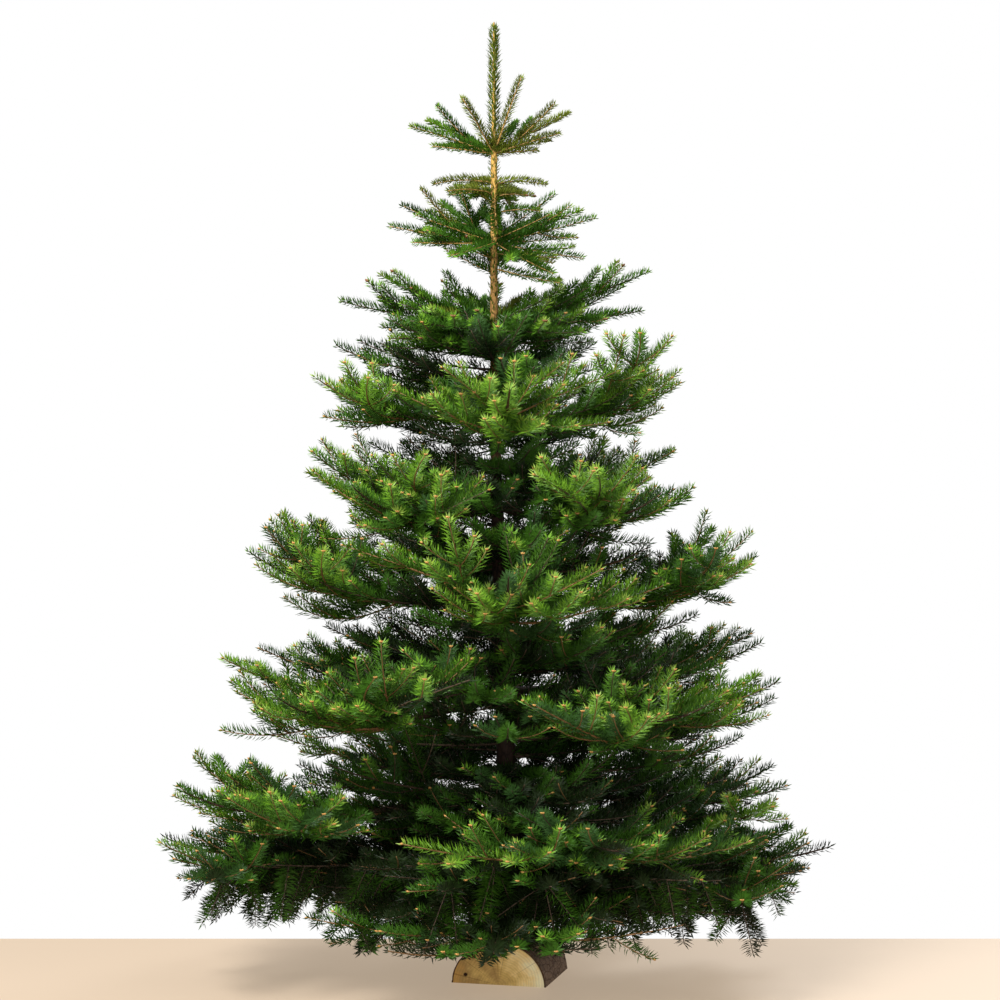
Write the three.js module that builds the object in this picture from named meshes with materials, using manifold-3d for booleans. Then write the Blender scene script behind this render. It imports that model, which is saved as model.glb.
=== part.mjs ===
/**
 * A cut spruce of Christmas tree size in its half-log foot: trunk, main boughs, and one solid for each mass
 * of foliage. Millimetres, +Z up. The origin is at the centre of the foot's flat underside, on the floor.
 * The tree's front faces -Y, and directions round the trunk are in degrees from +X towards +Y.
 */
import * as THREE from 'three';
import { mergeVertices } from 'three/addons/utils/BufferGeometryUtils.js';
import Module from 'manifold-3d';

const wasm = await Module();
wasm.setup();

// --- Driving dimensions ---

const TREE_HEIGHT = 1750;
const GAP = 0.3; // left between pieces that touch
const SEED = 20;

// The trunk leans a little to the left as it climbs, then runs straight up.
const LEAN = -30;
const LEAN_HEIGHT = 1200;
const TRUNK_FOOT = 24; // height of the flat cut at its foot, inside the log
const TRUNK_SIDES = 9;
const TRUNK_RADII = [
  [TRUNK_FOOT, 24],
  [150, 22],
  [700, 14.5],
  [1100, 8],
  [1500, 6.4],
  [1560, 4.2],
  [TREE_HEIGHT, 1.8],
];

// Half of a short log, its flat side down, turned a little so that one bark side shows.
const LOG_WIDTH = 175;
const LOG_HEIGHT = 78;
const LOG_LENGTH = 175;
const LOG_TURN = -14.6;
const LOG_ARC_STEPS = 16;

// The needles lie close round the leader, the straight top shoot.
const LEADER_FOOT = 1560;
const LEADER_RADIUS = 10.5;

// Light upper whorls, where single shoots show. A shoot is [direction, reach, height of its tip].
const SHOOT_FOOT = 3; // half thickness where a shoot leaves the trunk
const UPPER_WHORLS = [
  {
    name: 'whorl_1',
    base: 1502,
    radius: 15,
    left: [[188, 151, 1556], [140, 158, 1585], [228, 79, 1598], [255, 58, 1458]],
    right: [[22, 146, 1592], [-18, 122, 1540], [60, 77, 1576], [-48, 68, 1637]],
  },
  {
    name: 'whorl_2',
    base: 1430,
    radius: 15,
    left: [[175, 109, 1456], [205, 91, 1436], [120, 95, 1455]],
    right: [[8, 94, 1455], [-24, 89, 1392], [62, 90, 1446]],
  },
  {
    name: 'whorl_3',
    base: 1342,
    radius: 20,
    left: [[185, 189, 1377], [160, 178, 1422], [122, 184, 1440], [206, 162, 1329], [240, 150, 1300]],
    right: [[5, 184, 1396], [30, 183, 1417], [72, 176, 1400], [-18, 167, 1303], [-48, 154, 1270]],
  },
  {
    name: 'whorl_4',
    base: 1182,
    radius: 29,
    left: [[176, 279, 1246], [148, 245, 1301], [205, 203, 1152], [228, 210, 1185], [250, 105, 1285]],
    right: [[10, 284, 1302], [-15, 272, 1219], [38, 250, 1280], [-46, 215, 1165], [-72, 105, 1290]],
    back: [[94, 255, 1270], [70, 230, 1220], [118, 230, 1230]],
  },
];

// Full lower tiers of four main boughs each, a quarter turn apart and starting at the turn. Heights and sags
// are where the boughs leave the trunk and how far they hang before they turn up.
const tier = (name, base, sag, turn, reach, tip) => ({ name, base, sag, turn, reach, tip });
const TIERS = [
  tier('tier_1', 1016, 0, 4, [330, 300, 318, 310], [1125, 1130, 1112, 1080]),
  tier('tier_2', 856, 0, -41, [372, 362, 368, 366], [905, 985, 950, 915]),
  tier('tier_3', 688, 0, 3, [466, 430, 447, 435], [785, 815, 796, 765]),
  tier('tier_4', 520, 5, -45, [505, 510, 535, 530], [555, 630, 600, 565]),
  tier('tier_5', 352, 15, 20, [540, 535, 600, 530], [380, 430, 385, 325]),
  tier('tier_6', 210, 27, -4, [578, 560, 633, 535], [262, 245, 262, 168]),
];

// A main bough and its mass of foliage. Places and widths are fractions of the bough's length.
const MASS_START = 0.17;
const BEND_PLACE = 0.6; // where the bough stops running level and turns up
const BEND_RISE = 0.12;
const MASS_HALF_WIDTH = 0.36;
const MASS_HALF_DEPTH = 71;
const BOUGH_RADIUS = [5.5, 10];
const FINGER_ANGLES = [-40, -20, 20, 40];
const FINGER_RADIUS = 24;
const FINGER_PLACE = 0.33;
const FORK_PLACE = 0.12;

// --- Materials ---

function material(color, roughness) {
  return new THREE.MeshStandardMaterial({ color, roughness, metalness: 0 });
}

const trunkBark = () => material('#7d5f3a', 0.9);
const boughBark = () => material('#8a6634', 0.9);
const logWood = () => material('#c2a066', 0.85);

/** Needles, from the light new growth of the top to the dark lowest boughs. */
function needles(depth) {
  return material(new THREE.Color('#4f8a2a').lerp(new THREE.Color('#1f4a1c'), depth), 0.8);
}

// --- Solids ---

function toSolid(geometry) {
  const plain = geometry.clone();
  plain.deleteAttribute('normal');
  plain.deleteAttribute('uv');
  const merged = mergeVertices(plain, 1e-4);
  const mesh = new wasm.Mesh({
    numProp: 3,
    vertProperties: new Float32Array(merged.attributes.position.array),
    triVerts: new Uint32Array(merged.index.array),
  });
  return new wasm.Manifold(mesh);
}

function toGeometry(solid) {
  const mesh = solid.getMesh();
  const geometry = new THREE.BufferGeometry();
  geometry.setAttribute('position', new THREE.BufferAttribute(new Float32Array(mesh.vertProperties), 3));
  geometry.setIndex(new THREE.BufferAttribute(new Uint32Array(mesh.triVerts), 1));
  const faceted = geometry.toNonIndexed();
  faceted.computeVertexNormals();
  return faceted;
}

function piece(name, solid, look) {
  const mesh = new THREE.Mesh(toGeometry(solid), look);
  mesh.name = name;
  return mesh;
}

/** Random numbers from 0 to 1 that are the same on every run. */
function seededRandom(seed) {
  let state = seed;
  return () => {
    state = (state * 1664525 + 1013904223) % 4294967296;
    return state / 4294967296;
  };
}

const random = seededRandom(SEED);
const spread = (amount) => (random() * 2 - 1) * amount;

/**
 * A closed solid along a curve: a lathe of unit radius whose rings are laid along the curve, as wide and as
 * deep as the two functions say at each place from 0 to 1. Unevenness makes it swell and sink a little.
 */
function alongCurve({ curve, from = 0, to = 1, rings, sides, halfWidth, halfDepth, across, uneven = 0 }) {
  const profile = [new THREE.Vector2(0, 0)];
  for (let ring = 0; ring <= rings; ring += 1) {
    profile.push(new THREE.Vector2(1, ring / rings));
  }
  profile.push(new THREE.Vector2(0, 1));
  const lathe = new THREE.LatheGeometry(profile, sides);
  const phase = random() * 6;
  const points = lathe.attributes.position;
  for (let i = 0; i < points.count; i += 1) {
    const place = points.getY(i);
    const centre = curve.getPoint(THREE.MathUtils.lerp(from, to, place));
    const along = curve.getTangent(THREE.MathUtils.lerp(from, to, place));
    const upwards = new THREE.Vector3().crossVectors(across, along).normalize();
    const angle = Math.atan2(points.getX(i), points.getZ(i));
    const swell = 1 + uneven * (Math.sin(3 * angle + 9 * place + phase) + Math.sin(2 * angle - 6 * place));
    centre.addScaledVector(across, points.getX(i) * halfWidth(place) * swell);
    centre.addScaledVector(upwards, points.getZ(i) * halfDepth(place) * swell);
    points.setXYZ(i, centre.x, centre.y, centre.z);
  }
  return toSolid(lathe);
}

/** A value read off a list of [place, value] pairs, straight between them. */
function readOff(pairs, place) {
  const last = pairs.length - 1;
  if (place >= pairs[last][0]) {
    return pairs[last][1];
  }
  const next = Math.max(1, pairs.findIndex(([at]) => at > place));
  const [[lowAt, low], [highAt, high]] = [pairs[next - 1], pairs[next]];
  return low + ((high - low) * (place - lowAt)) / (highAt - lowAt);
}

// --- Trunk ---

const trunkRadius = (height) => readOff(TRUNK_RADII, height);

function trunkCentre(height) {
  return new THREE.Vector3(LEAN * THREE.MathUtils.smoothstep(height, 0, LEAN_HEIGHT), 0, height);
}

/** The trunk from its foot, or the space that it needs when grown by a gap. */
function trunk(grow = 0) {
  const heights = [TRUNK_FOOT - grow, 150, 350, 550, 700, 850, 1000, 1150, 1300, 1500, 1560];
  heights.push(TREE_HEIGHT + grow);
  const profile = [new THREE.Vector2(0, heights[0])];
  for (const height of heights) {
    profile.push(new THREE.Vector2(trunkRadius(height) + grow, height));
  }
  profile.push(new THREE.Vector2(0, TREE_HEIGHT + grow));
  const lathe = new THREE.LatheGeometry(profile, TRUNK_SIDES);
  lathe.rotateX(Math.PI / 2);
  const points = lathe.attributes.position;
  for (let i = 0; i < points.count; i += 1) {
    points.setX(i, points.getX(i) + trunkCentre(points.getZ(i)).x);
  }
  return toSolid(lathe);
}

const trunkSpace = trunk(GAP * 1.1);

function leaderNeedles() {
  const from = trunkCentre(LEADER_FOOT);
  const to = trunkCentre(TREE_HEIGHT - 8);
  const radius = (place) => LEADER_RADIUS * (0.6 + 0.4 * Math.sin(Math.PI * Math.min(1, place + 0.2)));
  const sleeve = alongCurve({
    curve: new THREE.LineCurve3(from, to),
    rings: 3,
    sides: 6,
    halfWidth: radius,
    halfDepth: radius,
    across: new THREE.Vector3(1, 0, 0),
    uneven: 0.03,
  });
  return sleeve.subtract(trunkSpace);
}

// --- Half-log foot ---

function logFoot() {
  const outline = new THREE.Shape();
  outline.moveTo(-LOG_WIDTH / 2, 0);
  outline.lineTo(LOG_WIDTH / 2, 0);
  outline.absellipse(0, 0, LOG_WIDTH / 2, LOG_HEIGHT, 0, Math.PI, false);
  const log = new THREE.ExtrudeGeometry(outline, {
    depth: LOG_LENGTH,
    bevelEnabled: false,
    curveSegments: LOG_ARC_STEPS,
  });
  log.translate(0, 0, -LOG_LENGTH / 2);
  log.rotateX(Math.PI / 2);
  log.rotateZ(THREE.MathUtils.degToRad(LOG_TURN));
  return toSolid(log).subtract(trunkSpace);
}

// --- Boughs and foliage ---

/** A point at a distance and direction from the trunk's axis. */
function roundTrunk(direction, distance, height) {
  const angle = THREE.MathUtils.degToRad(direction);
  const point = trunkCentre(height);
  point.x += distance * Math.cos(angle);
  point.y += distance * Math.sin(angle);
  return point;
}

/** The level direction at right angles to a limb that runs out from the trunk. */
function acrossOf(direction) {
  const angle = THREE.MathUtils.degToRad(direction);
  return new THREE.Vector3(Math.sin(angle), -Math.cos(angle), 0);
}

/** A limb's line: out from the trunk nearly level or sagging, then up to its tip. */
function limbLine({ direction, start = 0, reach, base, tip, sag = 0 }) {
  const foot = roundTrunk(direction, start, base);
  const bend = roundTrunk(direction, reach * BEND_PLACE, base + BEND_RISE * (tip - base) - 2 * sag);
  return new THREE.QuadraticBezierCurve3(foot, bend, roundTrunk(direction, reach, tip));
}

/** A leafy side shoot from a place on a limb to a tip of its own. */
function shoot({ limb, place, direction, reach, tip, radius, sides }) {
  const start = limb.getPoint(place);
  const end = roundTrunk(direction, reach, tip);
  const bend = start.clone().lerp(end, BEND_PLACE);
  bend.z -= 0.25 * (end.z - start.z);
  const level = Math.atan2(end.y - start.y, end.x - start.x);
  const thickness = (at) => radius * readOff([[0, 0.5], [0.6, 1], [1, 0.3]], at);
  return alongCurve({
    curve: new THREE.QuadraticBezierCurve3(start, bend, end),
    rings: 2,
    sides,
    halfWidth: thickness,
    halfDepth: thickness,
    across: acrossOf(THREE.MathUtils.radToDeg(level)),
  });
}

/** Foliage of an upper whorl: its first shoot is the stem from which the others fork. */
function lightMass({ base, radius }, [[direction, reach, tip], ...forks]) {
  const stem = limbLine({ direction, start: 2, reach, base, tip });
  const swell = [[0, SHOOT_FOOT / radius], [0.18, 0.5], [0.6, 1], [1, 0.35]];
  const thickness = (at) => radius * readOff(swell, at);
  let mass = alongCurve({
    curve: stem,
    rings: 3,
    sides: 6,
    halfWidth: thickness,
    halfDepth: thickness,
    across: acrossOf(direction),
  });
  for (const [forkDirection, forkReach, forkTip] of forks) {
    const fork = { direction: forkDirection, reach: forkReach, tip: forkTip, radius, sides: 5 };
    mass = mass.add(shoot({ limb: stem, place: FORK_PLACE, ...fork }));
  }
  return mass.subtract(trunkSpace);
}

/** A main bough from the trunk to where it enters its foliage. */
function bough(line, direction, radius) {
  const end = MASS_START - GAP / line.getLength();
  const taper = (at) => radius * (1 - 0.3 * at);
  const limb = alongCurve({
    curve: line,
    to: end,
    rings: 1,
    sides: 5,
    halfWidth: taper,
    halfDepth: taper,
    across: acrossOf(direction),
  });
  return limb.subtract(trunkSpace);
}

/** Foliage of a main bough: a flat uneven mass with upturned shoots fanned round its edge. */
function fullMass(line, { direction, reach, base, tip, sag }) {
  const widths = [[0, 0.08], [0.25, 0.75], [0.6, 1], [1, 0.1]];
  const depths = [[0, 0.35], [0.25, 1], [0.75, 0.9], [1, 0.3]];
  let mass = alongCurve({
    curve: line,
    from: MASS_START,
    rings: 4,
    sides: 7,
    halfWidth: (at) => reach * MASS_HALF_WIDTH * readOff(widths, at),
    halfDepth: (at) => MASS_HALF_DEPTH * readOff(depths, at),
    across: acrossOf(direction),
    uneven: 0.06,
  });
  for (const angle of FINGER_ANGLES) {
    const finger = { direction: direction + angle, radius: FINGER_RADIUS, sides: 4 };
    finger.reach = reach * (0.95 + spread(0.05));
    finger.tip = tip + spread(0.3) * (tip - base) + spread(25) - sag;
    mass = mass.add(shoot({ limb: line, place: FINGER_PLACE, ...finger }));
  }
  return mass;
}

function sideName(direction) {
  const turned = ((direction % 360) + 360) % 360;
  const eighth = Math.round(turned / 45) % 8;
  return ['right', 'back_right', 'back', 'back_left', 'left', 'front_left', 'front', 'front_right'][eighth];
}

function tierPieces({ name: tierName, base, sag, turn, reach: reaches, tip: tips }, depth) {
  const pieces = [];
  const radius = THREE.MathUtils.lerp(BOUGH_RADIUS[0], BOUGH_RADIUS[1], depth);
  reaches.forEach((reach, index) => {
    const direction = turn + 90 * index;
    const limb = { direction, reach, base, tip: tips[index], sag };
    const line = limbLine(limb);
    const mass = fullMass(line, limb);
    const name = `${tierName}_${sideName(direction)}`;
    pieces.push(piece(`bough_${name}`, bough(line, direction, radius), boughBark()));
    pieces.push(piece(`foliage_${name}`, mass, needles(0.3 + 0.7 * depth)));
  });
  return pieces;
}

const tree = new THREE.Group();
tree.add(piece('half_log_stand', logFoot(), logWood()));
tree.add(piece('trunk', trunk(), trunkBark()));
tree.add(piece('foliage_leader', leaderNeedles(), needles(0)));
for (const whorl of UPPER_WHORLS) {
  for (const side of ['left', 'right', 'back']) {
    if (whorl[side]) {
      tree.add(piece(`foliage_${whorl.name}_${side}`, lightMass(whorl, whorl[side]), needles(0.1)));
    }
  }
}
TIERS.forEach((one, index) => {
  tree.add(...tierPieces(one, index / (TIERS.length - 1)));
});

export default tree;
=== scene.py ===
# %% [markdown]
# # A cut spruce in its half-log foot
# The tree is grown here limb by limb: bark on the trunk and the main boughs, then twigs, needles and buds
# on a branching rule, and last the split log that it stands in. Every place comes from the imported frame.

# %% Load the frame
import math

import bpy
import numpy as np
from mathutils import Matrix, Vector


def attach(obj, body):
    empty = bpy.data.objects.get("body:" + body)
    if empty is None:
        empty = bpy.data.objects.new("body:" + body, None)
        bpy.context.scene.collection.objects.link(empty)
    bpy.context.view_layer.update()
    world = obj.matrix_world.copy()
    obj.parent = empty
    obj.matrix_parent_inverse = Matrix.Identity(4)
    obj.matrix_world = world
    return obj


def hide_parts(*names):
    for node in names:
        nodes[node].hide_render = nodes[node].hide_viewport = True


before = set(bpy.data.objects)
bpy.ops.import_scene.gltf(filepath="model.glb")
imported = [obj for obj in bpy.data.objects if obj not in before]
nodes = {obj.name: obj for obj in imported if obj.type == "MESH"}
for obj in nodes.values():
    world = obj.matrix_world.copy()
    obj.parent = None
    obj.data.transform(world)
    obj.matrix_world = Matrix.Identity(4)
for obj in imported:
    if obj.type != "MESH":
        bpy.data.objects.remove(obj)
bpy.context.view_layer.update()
dice = np.random.default_rng(11)


# %% [markdown]
# ## Camera, floor and light
# The tree is seen level from the front, from a little over four metres away with a long lens, so it keeps
# its upright shape. A pale floor ends behind the tree, and everything past it is white.

# %% Camera
EYE_HEIGHT = 0.871
EYE_DISTANCE = 4.2
EYE_SIDE = -0.019
LENS = 82.5

bpy.ops.object.select_all(action="DESELECT")
bpy.ops.object.camera_add(location=(EYE_SIDE, -EYE_DISTANCE, EYE_HEIGHT), rotation=(math.pi / 2, 0, 0))
camera = bpy.context.object
camera.data.lens = LENS
bpy.context.scene.camera = camera
bpy.context.scene.view_settings.view_transform = "Standard"
print("camera", tuple(round(v, 3) for v in camera.location))


# %% [markdown]
# A colour is easiest to choose as it shows on a screen, but the renderer counts light, so one function
# turns the screen's hex value to linear. Another adds one node, sets it, and links what feeds it.

# %% Helpers for materials
def linear(colour):
    """An sRGB hex colour as linear red, green, blue and alpha."""
    values = [int(colour[place:place + 2], 16) / 255 for place in (1, 3, 5)]
    return [v / 12.92 if v <= 0.04045 else ((v + 0.055) / 1.055) ** 2.4 for v in values] + [1]


def add_node(material, kind, inputs=None, **settings):
    """A new node. Each input is a value, or the output of another node that feeds it."""
    node = material.node_tree.nodes.new(kind)
    for name, value in settings.items():
        setattr(node, name, value)
    for name, value in (inputs or {}).items():
        if isinstance(value, bpy.types.NodeSocket):
            material.node_tree.links.new(value, node.inputs[name])
        else:
            node.inputs[name].default_value = value
    return node


def plain_material(name, colour, roughness, specular=0.5):
    """A new material whose surface shader is ready to be fed."""
    material = bpy.data.materials.new(name)
    material.use_nodes = True
    surface = material.node_tree.nodes["Principled BSDF"]
    surface.inputs["Base Color"].default_value = linear(colour)
    surface.inputs["Roughness"].default_value = roughness
    surface.inputs["Specular IOR Level"].default_value = specular
    return material


def colour_steps(ramp, steps):
    """Gives a colour ramp its steps, a list of (place, hex colour)."""
    elements = ramp.color_ramp.elements
    while len(elements) < len(steps):
        elements.new(0.5)
    for element, (place, colour) in zip(elements, steps):
        element.position = place
        element.color = linear(colour)


print("middle grey is", round(linear("#808080")[0], 3), "in linear light")


# %% [markdown]
# The floor is one plane, with its back edge just behind the tree, so that it meets the white wall at the
# height where a real floor would. It is a boarded floor in pale beige, lacquered matt. A share of its
# colour is given off as light, which keeps the tree's shadow faint, as under many soft lamps.

# %% Floor
FLOOR_BACK = 0.35
FLOOR_FRONT = -3.0
FLOOR_SIDE = 3.0
FLOOR_GLOW = 0.46

bpy.ops.object.select_all(action="DESELECT")
bpy.ops.mesh.primitive_plane_add(size=1, location=(0, (FLOOR_BACK + FLOOR_FRONT) / 2, 0))
floor = bpy.context.object
floor.name = "floor"
floor.scale = (2 * FLOOR_SIDE, FLOOR_BACK - FLOOR_FRONT, 1)
bpy.ops.object.transform_apply(location=True, scale=True)
# Boards of pale softwood under matt lacquer: a broad, weak gloss.
pale_floor = plain_material("pale_floor", "#837463", 0.6)
glow = pale_floor.node_tree.nodes["Principled BSDF"].inputs
glow["Emission Color"].default_value = linear("#EED6BA")
glow["Emission Strength"].default_value = FLOOR_GLOW
floor.data.materials.append(pale_floor)
print("floor", [round(v, 2) for v in floor.dimensions])


# %% [markdown]
# The room is white and its light comes from all round, but a tree that is lit evenly looks flat. So the
# white that is seen behind the tree is one background, the weaker white that lights it is another, and a
# large soft lamp high in front makes the upper sides of the sprays bright and leaves the inside of the
# crown dark.

# %% Light
ROOM_SEEN = 1.0
ROOM_LIGHT = 0.38
KEY_POWER = 330
FILL_POWER = 45
LOW_POWER = 60
BACK_POWER = 130
AIM = Vector((0, 0, 0.9))  # the middle of the tree, which every lamp looks at

world = bpy.data.worlds.new("white room")
bpy.context.scene.world = world
world.use_nodes = True
seen = world.node_tree.nodes["Background"]
seen.inputs["Color"].default_value = (1, 1, 1, 1)
seen.inputs["Strength"].default_value = ROOM_SEEN
lighting = add_node(world, "ShaderNodeBackground", {"Color": (1, 1, 1, 1), "Strength": ROOM_LIGHT})
ray = add_node(world, "ShaderNodeLightPath")
choice = add_node(world, "ShaderNodeMixShader", {0: ray.outputs["Is Camera Ray"], 1: lighting.outputs[0],
                                                 2: seen.outputs[0]})
world.node_tree.links.new(choice.outputs[0], world.node_tree.nodes["World Output"].inputs["Surface"])


def soft_light(name, place, size, power):
    """A square lamp that looks at the middle of the tree."""
    turn = (AIM - Vector(place)).to_track_quat("-Z", "Y").to_euler()
    bpy.ops.object.light_add(type="AREA", location=place, rotation=turn)
    lamp = bpy.context.object
    lamp.name = name
    lamp.data.size = size
    lamp.data.energy = power


soft_light("key", (-1.6, -2.4, 3.4), 1.3, KEY_POWER)
soft_light("fill", (2.6, -2.4, 2.0), 1.6, FILL_POWER)
soft_light("low fill", (0.6, -5.0, 0.7), 1.8, LOW_POWER)
soft_light("back fill", (1.9, 3.2, 2.9), 1.6, BACK_POWER)


# %% [markdown]
# ## What the frame says
# The solid trunk gives the line that everything grows from. Its corners lie in rings, so the middle and
# the radius of each ring, read by height, give the trunk's centre and girth at any height.

# %% Read the trunk and the masses
def corners(name):
    """The corners of a node, each once, as an array."""
    points = np.array([v.co for v in nodes[name].data.vertices])
    return np.unique(points.round(5), axis=0)


trunk_corners = corners("trunk")
ring_heights = np.unique(trunk_corners[:, 2].round(3))
rings = [trunk_corners[abs(trunk_corners[:, 2] - height) < 0.001] for height in ring_heights]
ring_middles = np.array([(ring.min(0) + ring.max(0)) / 2 for ring in rings])
ring_radii = np.array([np.ptp(ring[:, 1]) / 2 for ring in rings])
TREE_TOP = ring_heights[-1]


def trunk_centre(height):
    """The trunk's centre at a height."""
    return np.array([np.interp(height, ring_heights, ring_middles[:, k]) for k in (0, 1)] + [height])


def trunk_radius(height):
    """The trunk's radius at a height."""
    return float(np.interp(height, ring_heights, ring_radii))


print(len(rings), "rings, trunk radius", round(trunk_radius(0.1) * 1000, 1), "mm at the foot")


# %% [markdown]
# A mass of foliage ends in the tips of its shoots. A corner is a tip when no other corner close by is
# further from the trunk, so the tips are found by that rule, and the shoots grown below reach the same
# outline.

# %% Find the tips
NEAR = 0.24                # how far apart two tips are, as a share of the mass's reach
INNERMOST_TIP = 0.42       # no tip lies nearer to the trunk than this share of the reach


def from_trunk(points):
    """How far points are from the trunk's line, level."""
    centres = np.array([trunk_centre(height) for height in points[:, 2]])
    return np.hypot(*(points - centres)[:, :2].T)


def tips_of(name):
    """The tips of a mass, the furthest first."""
    points = corners(name)
    reach = from_trunk(points)
    order = np.argsort(-reach)
    found = []
    for place in order:
        if reach[place] < INNERMOST_TIP * reach[order[0]]:
            break
        if all(np.linalg.norm(points[place] - points[other]) > NEAR * reach[order[0]] for other in order
               if reach[other] > reach[place] + 1e-6):
            found.append(points[place])
    return found


mass_names = sorted(name for name in nodes if name.startswith("foliage_") and name != "foliage_leader")
mass_tips = {name: tips_of(name) for name in mass_names}
print({name: len(tips) for name, tips in mass_tips.items()})


# %% [markdown]
# ## How the limbs run
# A bough leaves the trunk nearly level, sags under its own weight, and turns up to the light at its tip.
# A quadratic curve through three points does all of that: the middle point lies low and well out, so the
# last part rises steeply. Each mass gives one main bough, which runs to its furthest tip, and fingers
# that fork from it.

# %% Limbs of the lower tiers
UP = np.array([0.0, 0.0, 1.0])
BEND_PLACE = 0.7           # where the low middle of the curve lies, as a share of the reach
DEEPEST_SAG = 0.16         # how far a bough may hang below its foot, as a share of the reach
TIP_RISE = {"1": 40, "2": 39, "3": 38, "4": 36, "5": 30, "6": 20}     # degrees, by tier
FORK_PLACE = 0.33          # where the fingers fork, as a share of the bough
FINGER_BEND, FINGER_END = 0.55, 0.42      # a finger's bend from its foot and from its tip, by its length
FOOT_ZONE = 0.012          # corners this close to the trunk belong to a foot, metres


def unit(vectors):
    """Vectors made one long."""
    return vectors / np.maximum(np.linalg.norm(vectors, axis=-1, keepdims=True), 1e-9)


def level_way(turn):
    """The level direction at an angle round the trunk, in radians from +X towards +Y."""
    return np.array([math.cos(turn), math.sin(turn), 0])


def curve_through(foot, bend, tip, spacing=0.02):
    """Points along a quadratic curve."""
    count = max(4, int(np.linalg.norm(tip - foot) / spacing) + 1)
    t = np.linspace(0, 1, count)[:, None]
    return (1 - t) ** 2 * foot + 2 * t * (1 - t) * bend + t ** 2 * tip


def bough_line(base, tip, rise):
    """The middle line of a bough, from the trunk's centre to its tip. It ends rising at so many degrees."""
    foot = trunk_centre(base)
    bend = foot + BEND_PLACE * (tip - foot)
    reach = np.hypot(*(tip - foot)[:2])
    bend[2] = max(tip[2] - math.tan(math.radians(rise)) * (1 - BEND_PLACE) * reach,
                  base - DEEPEST_SAG * reach)
    return curve_through(foot, bend, tip)


def finger_line(bough, tip, rise):
    """The middle line of a finger that forks from a bough."""
    place = int(FORK_PLACE * (len(bough) - 1))
    foot = bough[place]
    length = np.linalg.norm(tip - foot)
    bend = foot + unit(bough[place + 1] - bough[place]) * FINGER_BEND * length
    bend[2] = tip[2] - math.tan(math.radians(rise)) * FINGER_END * length
    return curve_through(foot, bend, tip)


def foot_height(name):
    """The height at which a node meets the trunk."""
    points = corners(name)
    reach = from_trunk(points)
    return float(points[reach < reach.min() + FOOT_ZONE][:, 2].mean())


boughs, limbs = {}, []
for name in mass_names:
    if "tier" not in name:
        continue
    tier = name.split("_")[2]
    bough_name = name.replace("foliage", "bough")
    line = bough_line(foot_height(bough_name), mass_tips[name][0], TIP_RISE[tier])
    boughs[bough_name] = line
    limbs.append({"line": line, "tier": tier, "kind": "bough"})
    for tip in mass_tips[name][1:]:
        end = tip + UP * dice.uniform(-0.015, 0.015)
        limbs.append({"line": finger_line(line, end, TIP_RISE[tier] + dice.uniform(-6, 8)), "tier": tier,
                      "kind": "finger"})
print(len(boughs), "boughs,", len(limbs), "limbs in the tiers")


# %% [markdown]
# The upper whorls are young. A shoot runs straight from the trunk to each tip of its mass, bends a
# little, and stays thin. Smaller shoots, from buds of the same year, stand between them and stop half
# way.

# %% Shoots of the upper whorls
WHORL_EXTRA = {"1": 0, "2": 2, "3": 6, "4": 9}      # small shoots added to each whorl
WHORL_BEND = {"1": -0.03, "2": -0.12, "3": 0.02, "4": 0.03}          # above 0 sags, below 0 arches


def whorl_shoot(base, tip, whorl):
    """One shoot from the trunk to a tip, with a slight bend."""
    foot = trunk_centre(base)
    bend = foot + 0.5 * (tip - foot) - UP * WHORL_BEND[whorl] * np.linalg.norm(tip - foot)
    limbs.append({"line": curve_through(foot, bend, tip), "tier": "w" + whorl, "kind": "whorl"})


for name in mass_names:
    if "whorl" not in name:
        continue
    whorl, base = name.split("_")[2], foot_height(name)
    for tip in mass_tips[name]:
        whorl_shoot(base if whorl != "2" else min(tip[2], base + 0.03), tip, whorl)
    for step in range(WHORL_EXTRA[whorl]):
        outer = mass_tips[name][step % len(mass_tips[name])]
        inner = trunk_centre(outer[2]) + (outer - trunk_centre(outer[2])) * dice.uniform(0.45, 0.75)
        inner += np.array([*dice.uniform(-0.06, 0.06, 2), dice.uniform(-0.06, 0.03)])
        whorl_shoot(base + dice.uniform(-0.06, 0.02), inner, whorl)
print(len(limbs), "limbs with the whorls")


# %% [markdown]
# Between two tiers a spruce also has small boughs that came from single buds on the trunk. They fill the
# gaps in height. How far the crown reaches at a height is read from the tips, and the small boughs stop
# short of it.

# %% Small boughs between the tiers
LONG_BETWEEN = 15          # in each gap, nearly as long as the tier's own
SHORT_BETWEEN = 11         # in each gap, that stay inside the crown
LONG_SHARE, SHORT_SHARE = (0.5, 0.82), (0.3, 0.58)      # their reach, as a share of the crown's
BETWEEN_RISE = (0.02, 0.24)                             # their tips' height over the foot, by their reach
TOP_GAP = 1.182            # the gap over the highest tier ends here, metres
TIER_FEET = []
for tier in "654321":
    feet = [foot_height(name) for name in boughs if name.startswith("bough_tier_" + tier)]
    TIER_FEET.append(round(float(np.mean(feet)), 3))
tier_tips = np.array([tips[0] for name, tips in mass_tips.items() if "tier" in name or "whorl_4" in name])
tip_reach = from_trunk(tier_tips)
tip_order = np.argsort(tier_tips[:, 2])


def crown_radius(height):
    """How far the crown reaches at a height."""
    return float(np.interp(height, tier_tips[tip_order, 2], tip_reach[tip_order]))


def between_boughs(low, high, number, share, rise):
    """Small boughs all round between two heights, which reach a share of the crown's radius."""
    start = dice.uniform(0, 360)
    for step in range(number):
        turn = math.radians(start + 360 * step / number + dice.uniform(-12, 12))
        base = low + (high - low) * dice.uniform(0.1, 0.95)
        reach = crown_radius(base + 0.06) * dice.uniform(*share)
        tip = trunk_centre(base) + reach * level_way(turn) + UP * dice.uniform(*BETWEEN_RISE) * reach
        limbs.append({"line": bough_line(base, tip, rise), "tier": "between", "kind": "small"})


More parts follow.
